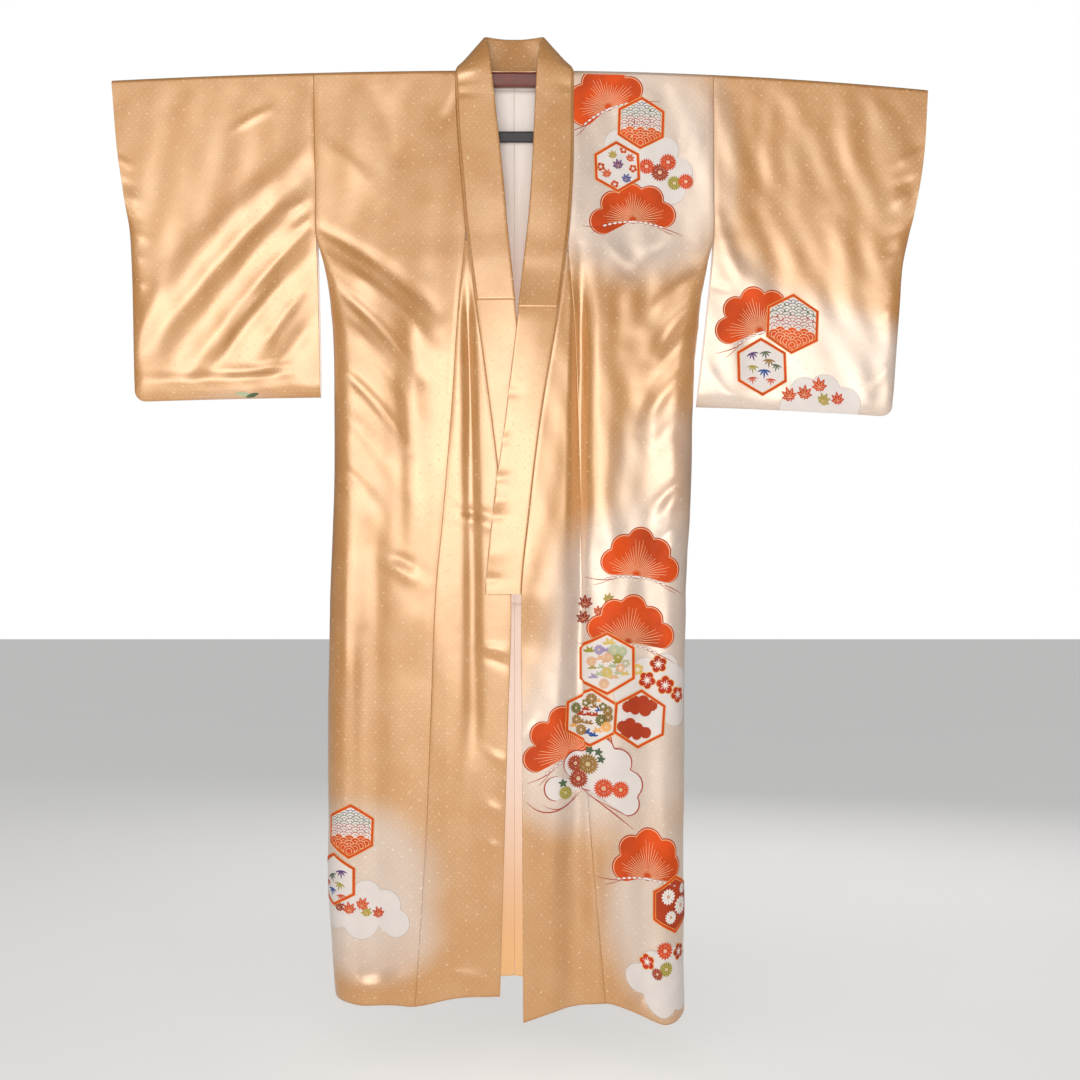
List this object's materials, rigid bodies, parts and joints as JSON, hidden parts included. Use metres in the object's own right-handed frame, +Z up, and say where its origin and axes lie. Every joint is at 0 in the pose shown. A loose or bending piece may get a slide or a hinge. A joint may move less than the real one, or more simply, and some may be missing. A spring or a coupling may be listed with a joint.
{
  "type": "kimono and its hanging rail",
  "caption": "Lined satin kimono with wide sleeves, a long neckband and open overlapping fronts, hung full width on a bowed rail",
  "frame": {"origin": "The middle of the rail's section at its mid length, where the rail is held.", "axes": "+Z is up, -Y is the garment's front, +X is the wearer's left."},
  "size_m": [1.2901, 0.1293, 1.5558],
  "materials": {
    "figured_satin": "gold silk satin with a small woven figure, dyed to white round painted and embroidered motifs",
    "white_lining": "plain weave white silk, faintly pink",
    "hem_lining": "plain weave silk shaded from white to pale gold",
    "lacquered_wood": "red-brown lacquer, half gloss",
    "black_fittings": "matt black"
  },
  "bodies": {
    "root": {"rail": "lacquered_wood", "obi_bar": "black_fittings", "link_left": "black_fittings", "link_right": "black_fittings", "front_left": "figured_satin", "front_right": "figured_satin", "back_left": "figured_satin", "back_right": "figured_satin", "overlap_left": "figured_satin", "overlap_right": "figured_satin", "sleeve_left": "figured_satin", "sleeve_right": "figured_satin", "collar": "figured_satin", "over_collar": "figured_satin", "lining_left": "white_lining", "lining_right": "white_lining", "hem_lining_left": "hem_lining", "hem_lining_right": "hem_lining"}
  },
  "joints": []
}
